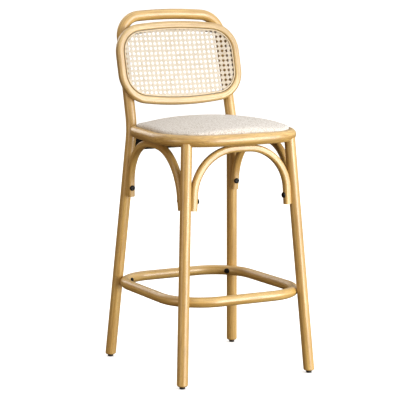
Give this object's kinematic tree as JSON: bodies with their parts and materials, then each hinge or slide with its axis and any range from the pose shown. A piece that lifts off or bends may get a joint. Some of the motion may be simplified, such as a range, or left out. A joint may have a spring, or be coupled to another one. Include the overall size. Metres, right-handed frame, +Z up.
{
  "type": "bar stool",
  "caption": "Bentwood bar stool with an upholstered seat, a curved caned backrest, arched braces under the seat and a closed ring footrest.",
  "frame": {"origin": "on the floor, under the middle of the stool's overall width and depth", "axes": "+Z up, -Y towards the front of the seat, +X to the right as seen from the front"},
  "size_m": [0.4852, 0.5482, 1.1195],
  "materials": {
    "beech": "satin lacquer over pale natural beech",
    "plywood": "raw plywood",
    "dark_wood": "black stain, satin",
    "upholstery": "plain woven off-white cloth",
    "dust_cloth": "thin black non-woven cloth",
    "cane": "natural pale cane",
    "black_steel": "black",
    "zinc_steel": "zinc plated",
    "glide_plastic": "matt black"
  },
  "bodies": {
    "root": {"rear_frame": "beech", "front_leg_left": "beech", "front_leg_right": "beech", "seat_ring": "beech", "seat_board": "plywood", "seat_dust_cover": "dust_cloth", "seat_cushion": "upholstery", "arch_front": "beech", "arch_left": "beech", "arch_right": "beech", "rear_rail": "dark_wood", "footrest_ring": "beech", "backrest_ring": "beech", "cane_panel": "cane", "cane_spline": "cane", "arch_bolts": "black_steel", "footrest_bolts": "black_steel", "rear_seat_bolts": "black_steel", "leg_inserts": "zinc_steel", "arch_screws": "zinc_steel", "seat_screws": "zinc_steel", "rear_rail_screws": "zinc_steel", "backrest_screws": "black_steel", "foot_glides": "glide_plastic"}
  },
  "joints": []
}
